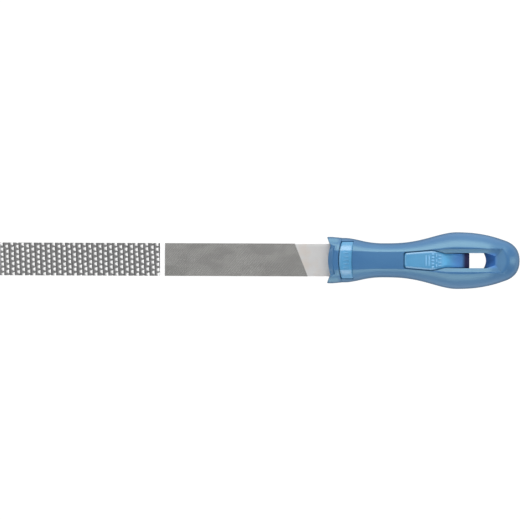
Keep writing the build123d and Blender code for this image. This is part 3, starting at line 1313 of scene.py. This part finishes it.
    def socket(self) -> Sheet:
        """The socket's lining: a thin tapered tube, closed at its far end.

        Returns:
            The lining's surface, inside and out.
        """
        places = np.array([3.6, 4.1, 9.6, 61.5])
        wide = np.array([10.1, 10.1, 5.35, 2.2])
        thick = np.array([2.6, 2.6, 2.6, 1.5])
        x = steps(3.6, 61.5, 0.8)
        wide = np.interp(x, places, wide)[:, None]
        thick = np.interp(x, places, thick)[:, None]
        walk = np.linspace(0.0, 1.0, 9)[None, :]
        ones = np.ones_like(walk)
        rows_x = []
        rows_y = []
        rows_z = []
        for grow, order in ((0.0, slice(None, None, -1)), (0.5, slice(None))):
            y = np.hstack([walk * (wide + grow), (wide + grow) * ones[:, 1:]])
            z = np.hstack([(thick + grow) * ones, (thick + grow) * (1 - walk[:, 1:])])
            reach = np.where(x == x[-1], x + 0.6 * grow, x)[:, None] * np.ones_like(y)
            rows_x.append(reach[order])
            rows_y.append(y[order])
            rows_z.append(z[order])
        first = (rows_x[0][:1], rows_y[0][:1] * 0.0, rows_z[0][:1] * 0.0)
        last = (rows_x[1][-1:], rows_y[1][-1:] * 0.0, rows_z[1][-1:] * 0.0)
        x = np.vstack([first[0]] + rows_x + [last[0]])
        y = np.vstack([first[1]] + rows_y + [last[1]])
        z = np.vstack([first[2]] + rows_z + [last[2]])
        return four_ways(x, y, z)

    def build(self, offset: float) -> List[Piece]:
        """Makes every visible piece of the core.

        Args:
            offset: Where the handle's front plane is in the frame, in metres.

        Returns:
            The finished pieces.
        """
        plain = CorePlastic()
        rubbed = PolishedMarks()
        plans = (
            ("core_band", self.band(), 34.0, plain),
            ("core_tongue", self.tongue(), 34.0, plain),
            ("core_socket", self.socket(), 30.0, plain),
            ("band_ribs_top", self.ribs(Side.TOP), 60.0, plain),
            ("band_ribs_under", self.ribs(Side.UNDER), 60.0, plain),
            ("thumb_marks_top", self.marks(Side.TOP), 60.0, rubbed),
            ("thumb_marks_under", self.marks(Side.UNDER), 60.0, rubbed),
        )
        pieces = []
        for name, sheet, crease, finish in plans:
            piece = Piece(name, sheet, offset).smooth(crease)
            pieces.append(piece.finish(finish, "handle", "handle_core", "core_plastic"))
        return pieces


@dataclass
class Grip:
    """The soft grip: a closed shell with windows, bowls and the hanging hole.

    A quarter of it is one grid. Its rows are sections along the tool, and its
    columns run from the middle of the top to the middle of the side through
    named places: the tongue's window, the lip and the rim of the bowl, the
    facet's edge, and the band's window. Where a window or a bowl isn't there,
    its places lie on the plain form.
    """

    form: HandleForm
    core: Core
    seam: float = 0.55
    seam_depth: float = 1.3
    neck_seam: float = 0.35
    ear_valley: float = 8.8
    ear_depth: float = 2.0
    brow_back: float = 0.6
    hole_from: float = 86.7
    hole_to: float = 97.0
    hole_half: float = 4.6
    hole_sag: float = 1.4
    rim_x: float = 73.0
    rim_half: float = 7.3
    wall_foot: float = 1.0
    wall_end: float = 102.4
    wall_top: float = 7.6
    wall_half: float = 2.7
    ramp_end: float = 108.0
    ramp_half: float = 7.0
    ramp_slope: float = 0.36
    ramp_blend: float = 0.9
    pocket_half: float = 10.1
    pocket_height: float = 2.6
    pocket_depth: float = 3.6
    socket_end: float = 62.2
    wink: float = 0.01

    def stations(self) -> Array:
        """Where the sections lie, closer together at the ends of the windows.

        Returns:
            The sections' places in order, none closer than 0.008 mm.
        """
        core = self.core
        nose = core.tongue_x - self.seam
        walls = (core.band_x - self.seam, core.band_end + 0.05, nose)
        pairs = [(wall - self.wink, wall + self.wink) for wall in walls]
        arc = self.hole_to - self.hole_sag * np.cos(np.linspace(0, math.pi / 2, 14)) ** 2
        turn = np.linspace(math.radians(self.form.tail_angle), math.pi / 2, 34)
        lists = [
            steps(0.0, core.band_x - self.seam, 0.22),
            steps(core.band_x, self.hole_to - self.hole_sag, 0.5),
            steps(self.hole_to, self.form.tail_start(), 0.35),
            nose + 1.5 * (1 - np.cos(np.linspace(0.1, math.pi / 2, 8))),
            np.array([self.hole_from - self.wink, self.hole_from, self.hole_from + self.wink]),
            arc,
            np.array([self.hole_to + self.wink, self.wall_end, core.wide_x]),
            self.form.tail_x + self.form.tail_reach * np.sin(turn),
            np.array(pairs).ravel(),
        ]
        x = np.unique(np.round(np.concatenate(lists), 4))
        near = np.concatenate([[True], np.diff(x) > 0.008])
        return x[near]

    def hole_edge(self, x: Array) -> Array:
        """Half width of the hanging hole at a section: straight, then an arc."""
        arc = np.clip((x - (self.hole_to - self.hole_sag)) / self.hole_sag, 0.0, 1.0)
        return self.hole_half * np.sqrt(1.0 - arc)

    def front_shift(self, x: Array, y: Array) -> Array:
        """How far a section's points lie behind its place, by their distance across.

        At the front plane they follow the ears and the brow, and at the band
        its bowed edges. The shift goes evenly from one to the next.

        Args:
            x: Distances along the tool from the handle's front plane, in mm.
            y: Distances across the tool from its axis, in mm.

        Returns:
            The shift of each point, in mm.
        """
        across = np.abs(y)
        brow = self.brow_back + (self.ear_depth - self.brow_back) * (across / self.ear_valley) ** 2
        side = self.form.collar[0]
        ear = self.ear_depth * (side - across) / (side - self.ear_valley)
        front = np.where(across < self.ear_valley, brow, ear)
        bow = (across / self.core.band_half) ** 2
        at_band = self.core.band_bow * bow
        behind = self.core.band_back_bow * bow
        start = self.core.band_x - self.seam
        to_band = np.clip(x / start, 0.0, 1.0)
        past = np.clip((x - start) / (self.core.band_end - start), 0.0, 1.0)
        gone = ease((x - self.core.band_end) / 12.0)
        shift = mix(front, at_band, to_band)
        shift = np.where(x > start, mix(at_band, behind, past), shift)
        return shift * (1.0 - gone)

    def window(self, x: Array) -> Array:
        """Half width of the tongue's window, the hole, the end wall or the ramp.

        Args:
            x: Distances along the tool from the handle's front plane, in mm.

        Returns:
            That half width at each place, in mm.
        """
        core = self.core
        gap = np.interp(x, [core.wide_x, core.neck_x], [self.seam, self.neck_seam])
        beside = core.tongue_half(np.clip(x + self.seam, core.tongue_x, core.hole_x)) + gap
        beside = np.maximum(beside, self.hole_half)
        nose = core.tongue_x - self.seam
        before = core.tongue_half(np.clip(x + self.seam, core.tongue_x, None)) + gap
        beside = np.where(x < core.wide_x, before, beside)
        places = [self.hole_to, self.wall_end, self.ramp_end, self.ramp_end + 4.0]
        past = np.interp(x, places, [self.hole_half, self.wall_half, self.ramp_half, 3.4])
        half = np.where(x > nose, beside, 0.7 * self.form.size(x, 2))
        half = np.where(x > self.hole_from, self.hole_half, half)
        half = np.where(x > self.hole_to, past, half)
        return np.minimum(half, 0.75 * self.form.size(x, 0))

    def rim(self, x: Array, window: Array) -> Array:
        """Half width of the bowl's rim, which opens from the tongue's widest place.

        Args:
            x: Distances along the tool from the handle's front plane, in mm.
            window: The window's half width at those places.

        Returns:
            The rim's half width, always a little more than the window's.
        """
        core = self.core
        places = [core.wide_x, self.rim_x, self.ramp_end, self.ramp_end + 3.0]
        widths = [core.wide_half + self.seam, self.rim_half, self.rim_half, 0.0]
        rim = np.where(x > core.wide_x, np.interp(x, places, widths), 0.0)
        return np.maximum(rim, window * 1.03)

    def fallen(self, distance: Array) -> Array:
        """How far a ledge lies below the rim: a short steep step, then a slope."""
        return ease(distance / 0.4) + 0.42 * np.clip(distance - 0.2, 0.0, None)

    def floor(self, x: Array, y: Array, skin: Array) -> Array:
        """Height of what lies between the windows' edges.

        Under the tongue it is a ledge well below the tongue's face. Past the
        hole it climbs from the hole's arc in a steep wall and then a ramp,
        which blends into the skin as the lesser of the two.

        Args:
            x: Distances along the tool from the handle's front plane, in mm.
            y: Distances across the tool from its axis, in mm.
            skin: The outer form's height at those points.

        Returns:
            The floor's height, in mm.
        """
        core = self.core
        tongue = core.tongue_top(np.clip(x, core.tongue_x, core.hole_x))
        under = np.minimum(skin - self.seam_depth, tongue - 1.0)
        arc = self.hole_to - self.hole_sag * (y / self.hole_half) ** 2
        climb = (self.wall_top - self.wall_foot) / (self.wall_end - self.hole_to)
        wall = self.wall_foot + climb * np.clip(x - arc, 0.0, None)
        ramp = self.wall_top + self.ramp_slope * (x - self.wall_end)
        end = np.minimum(wall, np.maximum(ramp, self.wall_top))
        share = np.clip(0.5 + 0.5 * (skin - end) / self.ramp_blend, 0.0, 1.0)
        end = mix(skin, end, share) - self.ramp_blend * share * (1.0 - share) * (x > self.wall_end)
        height = np.where(x > core.tongue_x - self.seam, under, skin)
        return np.where(x > self.hole_from, end, height)

    def ledge(self, x: Array, y: Array, rim: Array, window: Array) -> Array:
        """Height of the bowl's side ledge, from its rim in to the window's edge.

        Beside the tongue it falls no further than the tongue's face has.

        Args:
            x: Distances along the tool from the handle's front plane, in mm.
            y: Distances across the tool from its axis, in mm.
            rim: The rim's half width at those places.
            window: The window's half width there.

        Returns:
            The ledge's height, or the outer form's where there is no bowl.
        """
        core = self.core
        top = self.form.skin(x, rim)
        face = core.tongue_top(np.clip(x, core.tongue_x, core.hole_x)) - 0.15
        most = self.fallen(np.maximum(rim - window, 0.05))
        share = np.clip((top - face) / most, 0.0, 1.0)
        share = np.where(x > self.hole_from, 1.0, share)
        height = top - share * self.fallen(np.clip(rim - y, 0.0, None))
        in_bowl = (x > core.wide_x) & (x < self.ramp_end + 3.0)
        return np.where(in_bowl, height, self.form.skin(x, y))

    def quarter(self) -> Tuple[Array, Array, Array]:
        """The quarter grid: x, y and z of every point.

        Returns:
            Three arrays of one shape, with a row for each section.
        """
        form = self.form
        core = self.core
        x = self.stations()[:, None]
        window = self.window(x)
        rim = self.rim(x, window)
        side = form.size(x, 0)
        outer = np.minimum(np.maximum(form.size(x, 2), rim * 1.015), 0.96 * side)
        on_band = (x > core.band_x - self.seam) & (x < core.band_end + 0.05)
        in_hole = (x > self.hole_from) & (x <= self.hole_to)
        at_hole = np.abs(x - self.hole_from) < self.wink / 2
        past_hole = x > self.hole_to

        def strip(first: Array, last: Array, count: int) -> Array:
            """Columns from first towards last, without last itself."""
            return mix(first, last, np.linspace(0.0, 1.0, count + 1)[None, :-1])

        # The middle: the hole's upright wall, or the floor out to the window's edge.
        edge = np.where(in_hole, self.hole_edge(x), 0.5 * window)
        middle = np.where(past_hole, edge * ease((x - self.hole_to) / 8.0), edge)
        y_a = strip(np.where(in_hole, edge, 0.0), middle, 6)
        z_a = self.floor(x, y_a, form.skin(x, y_a))
        foot = self.floor(x, middle, form.skin(x, middle))
        z_a = np.where(in_hole | at_hole, strip(0.0 * x, foot, 6), z_a)
        y_b = strip(middle, window, 8)
        z_b = self.floor(x, y_b, form.skin(x, y_b))
        # The window's upright wall, the ledge, and the facet beyond the rim.
        low = self.floor(x, window, form.skin(x, window))
        high = np.maximum(self.ledge(x, window, rim, window), low)
        y_c = window * np.ones((1, 4))
        z_c = strip(low, high, 4)
        y_d = mix(window, rim, (np.linspace(0.0, 1.0, 13)[None, :-1]) ** 0.8)
        z_d = np.maximum(self.ledge(x, y_d, rim, window), self.floor(x, y_d, form.skin(x, y_d)) * past_hole)
        z_d = np.minimum(z_d, form.skin(x, y_d))
        y_e = mix(rim, outer, np.array([[0.0, 0.25, 0.5, 0.75, 0.93]]))
        z_e = form.skin(x, y_e)
        y = np.hstack([y_a, y_b, y_c, y_d, y_e])
        z = np.hstack([z_a, z_b, z_c, z_d, z_e]) - np.where(on_band, self.seam_depth, 0.0)
        # The side: to the band's edge, its window's wall, and down to the middle.
        centre, radius = form.circle(x)
        reach = np.maximum(radius, 1e-6)
        first = np.arccos(np.clip((outer - centre) / reach, -1.0, 1.0))
        band_edge = np.arccos(np.clip((core.band_half + self.seam - centre) / reach, -1.0, 1.0))
        near_band = 1.0 - ease((x - 18.0) / 8.0)
        split = mix(0.55 * first, np.minimum(band_edge, 0.8 * first), near_band)
        depth = np.where(on_band, self.seam_depth, 0.0)
        fine = np.concatenate([[0.0, 0.04], np.linspace(0.12, 1.0, 12)])[None, :]
        turn = mix(first, split, fine)
        rise = np.linspace(0.0, 1.0, 4)[None, 1:]
        down = mix(split, 0.0, np.linspace(0.0, 1.0, 15)[None, 1:])
        far = [radius - depth + 0.0 * turn, radius - depth * (1.0 - rise), radius + 0.0 * down]
        angle = np.hstack([turn, split + 0.0 * rise, down])
        y_f = centre + np.hstack(far) * np.cos(angle)
        z_f = np.hstack(far) * np.sin(angle)
        z_f[:, -1] = 0.0
        y = np.hstack([y, y_f])
        z = np.hstack([z, z_f])
        y, z = self.collar_detail(x, y, z)
        return x + self.front_shift(x, y), y, z

    def collar_detail(self, x: Array, y: Array, z: Array) -> Tuple[Array, Array]:
        """Draws the collar's lip, crease and ring by scaling its sections.

        Args:
            x: Distances along the tool from the handle's front plane, in mm.
            y: Distances across the tool from its axis, in mm.
            z: Each point's height.

        Returns:
            The points' new y and z.
        """
        across = np.abs(y)
        brow = 1.0 - ease((across - 8.2) / 1.4)
        lip = 0.5 * (1.0 - np.sqrt(1.0 - (1.0 - np.clip(x / 0.6, 0.0, 1.0)) ** 2))
        slope = 2.2 * (1.0 - ease(x / 2.9)) * brow
        crease = 0.42 * np.exp(-(((x - 2.9) / 0.25) ** 2)) * brow
        hollow = 0.18 * np.exp(-(((x - 4.9) / 1.2) ** 2)) * brow
        ring = 0.25 * np.clip(1.0 - np.abs(x - self.core.band_x + self.seam) / 0.3, 0.0, 1.0)
        ring = np.where(x < self.core.band_x - self.seam, ring, 0.0)
        drop = (lip + slope + crease + hollow + ring) / 12.0
        drop = np.where(z < 0.5, 0.5 * drop, drop)
        return y * (1.0 - drop), z * (1.0 - drop)

    def front_rows(self, y: Array, z: Array) -> Tuple[Array, Array, Array]:
        """The front face, the blade's pocket and the socket's cavity.

        Args:
            y: The first section's points across.
            z: The first section's points upright.

        Returns:
            Rows from the cavity's closed end out to the first section.
        """
        count = y.shape[1]
        walk = np.linspace(0.0, 1.0, count)[None, :]
        corner = 0.72
        along_top = np.clip(walk / corner, 0.0, 1.0)
        down_side = np.clip((walk - corner) / (1.0 - corner), 0.0, 1.0)

        def pocket(half: float, height: float) -> Tuple[Array, Array]:
            """A quarter of a rectangle, from the middle of its top to its side."""
            return half * along_top, height * (1.0 - down_side)

        rows = []
        for share in (0.12, 0.3, 0.5, 0.7, 0.88, 1.0):
            py, pz = pocket(self.pocket_half, self.pocket_height)
            ry = mix(y, py, share)
            rz = mix(z, pz, share)
            rows.append((self.front_shift(np.zeros((1, 1)), ry), ry, rz))
        grow = 0.6
        py, pz = pocket(self.pocket_half, self.pocket_height)
        rows.append((np.full((1, count), self.pocket_depth - 0.02), py, pz))
        for place, half, height in (
            (self.pocket_depth, self.pocket_half + grow, self.pocket_height + grow),
            (4.1, self.pocket_half + grow, self.pocket_height + grow),
            (9.6, 5.35 + grow, self.pocket_height + grow),
            (self.socket_end, 2.2 + grow, 1.5 + grow),
            (self.socket_end, 0.0, 0.0),
        ):
            py, pz = pocket(half, height)
            rows.append((np.full((1, count), place), py, pz))
        rows.reverse()
        return tuple(np.vstack([row[k] for row in rows]) for k in range(3))

    def build(self, offset: float) -> List[Piece]:
        """Makes the grip's one closed shell.

        Args:
            offset: Where the handle's front plane is in the frame, in metres.

        Returns:
            The one finished piece, in a list.
        """
        x, y, z = self.quarter()
        front = self.front_rows(y[:1], z[:1])
        x, y, z = (np.vstack([a, b]) for a, b in zip(front, (x, y, z)))
        piece = Piece("grip_shell", four_ways(x, y, z), offset).smooth(32.0)
        return [piece.finish(GripPlastic(), "handle", "handle_grip", "grip_plastic")]


# ---------------------------------------------------------------------------
# Studio
# ---------------------------------------------------------------------------


@dataclass
class Lamp:
    """A soft rectangular light that looks at a target."""

    name: str
    place: Tuple[float, float, float]
    size: Tuple[float, float]
    power: float
    colour: Colour = (1.0, 1.0, 1.0)

    def build(self, target: Vector) -> None:
        """Makes the light and turns it to the target.

        Args:
            target: The point that the light faces.
        """
        data = bpy.data.lights.new(self.name, "AREA")
        data.shape = "RECTANGLE"
        data.size, data.size_y = self.size
        data.energy = self.power
        data.color = self.colour
        lamp = bpy.data.objects.new(self.name, data)
        lamp.location = self.place
        lamp.rotation_euler = (target - lamp.location).to_track_quat("-Z", "Y").to_euler()
        bpy.context.scene.collection.objects.link(lamp)


@dataclass
class Studio:
    """Camera, pale floor and soft lights."""

    width: float = 0.3172
    aim: float = -0.0001
    roll: float = 0.22
    lens: float = 300.0
    sensor: float = 36.0
    floor_half: float = 6.0
    floor_glow: float = 1.0
    world_light: float = 0.4
    lamps: Tuple[Lamp, ...] = (
        Lamp("key_side", (0.0, 1.2, 0.75), (1.8, 1.0), 26.0),
        Lamp("fill_side", (0.0, -1.2, 0.75), (1.6, 0.8), 12.5),
        Lamp("tip_end", (-0.95, 0.1, 1.05), (0.5, 0.8), 3.0),
        Lamp("tail_end", (1.3, 0.0, 0.45), (0.5, 0.8), 4.4),
    )

    def camera(self) -> None:
        """Looks straight down on the file, which fills the view's width."""
        data = bpy.data.cameras.new("overhead")
        data.lens = self.lens
        data.sensor_width = self.sensor
        camera = bpy.data.objects.new("overhead", data)
        camera.location = (0.0, self.aim, self.width * self.lens / self.sensor)
        camera.rotation_euler = (0.0, 0.0, math.radians(self.roll))
        bpy.context.scene.collection.objects.link(camera)
        bpy.context.scene.camera = camera

    def floor(self, bulge: Vector, tip: Vector) -> None:
        """A plane on which the file rests, by a hair clear of its tip and its bulge.

        Args:
            bulge: The point just below the handle's bulge, in metres.
            tip: The point just below the blade's tip, in metres.
        """
        slope = (bulge.z - tip.z) / (bulge.x - tip.x)
        x = np.array([[-1.0, -1.0], [1.0, 1.0]]) * self.floor_half
        y = np.array([[-1.0, 1.0], [-1.0, 1.0]]) * self.floor_half
        z = bulge.z + slope * (x - bulge.x)
        mesh = bpy.data.meshes.new("floor")
        points = np.stack([x.ravel(), y.ravel(), z.ravel()], axis=1)
        mesh.from_pydata(points.tolist(), [], [[0, 2, 3, 1]])
        floor = bpy.data.objects.new("floor", mesh)
        bpy.context.scene.collection.objects.link(floor)
        tree = Tree("pale_floor")
        tree.feed("Base Color", (0.04, 0.04, 0.04))
        tree.feed("Roughness", 0.9)
        tree.feed("Specular IOR Level", 0.0)
        tree.feed("Emission Color", (1.0, 1.0, 1.0))
        tree.feed("Emission Strength", self.floor_glow)
        mesh.materials.append(tree.material)

    def world(self) -> None:
        """An even, faint light from all round."""
        world = bpy.data.worlds.new("studio")
        world.use_nodes = True
        background = world.node_tree.nodes["Background"]
        background.inputs["Color"].default_value = (1.0, 1.0, 1.0, 1.0)
        background.inputs["Strength"].default_value = self.world_light
        bpy.context.scene.world = world

    def build(self) -> None:
        """Makes camera, floor, lights and world."""
        self.camera()
        low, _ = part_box("file_blank")
        grip_low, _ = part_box("handle_grip")
        self.floor(Vector((0.121, 0.0, grip_low.z - 0.0002)), Vector((low.x, 0.0, low.z - 0.0001)))
        for lamp in self.lamps:
            lamp.build(Vector((0.0, 0.0, 0.0)))
        self.world()
        settings = bpy.context.scene.view_settings
        settings.view_transform = "Standard"
        settings.look = "None"


def main() -> None:
    """Builds the studio, the blade and the handle, in that order."""
    logging.basicConfig(level=logging.INFO, format="%(name)s %(message)s")
    Studio().build()
    low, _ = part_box("handle_grip")
    front = low.x
    form = HandleForm()
    core = Core(form)
    pieces = Blade().build(front) + core.build(front) + Grip(form, core).build(front)
    LOG.info("%d pieces", len(pieces))
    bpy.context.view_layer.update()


if __name__ == "__main__":
    main()
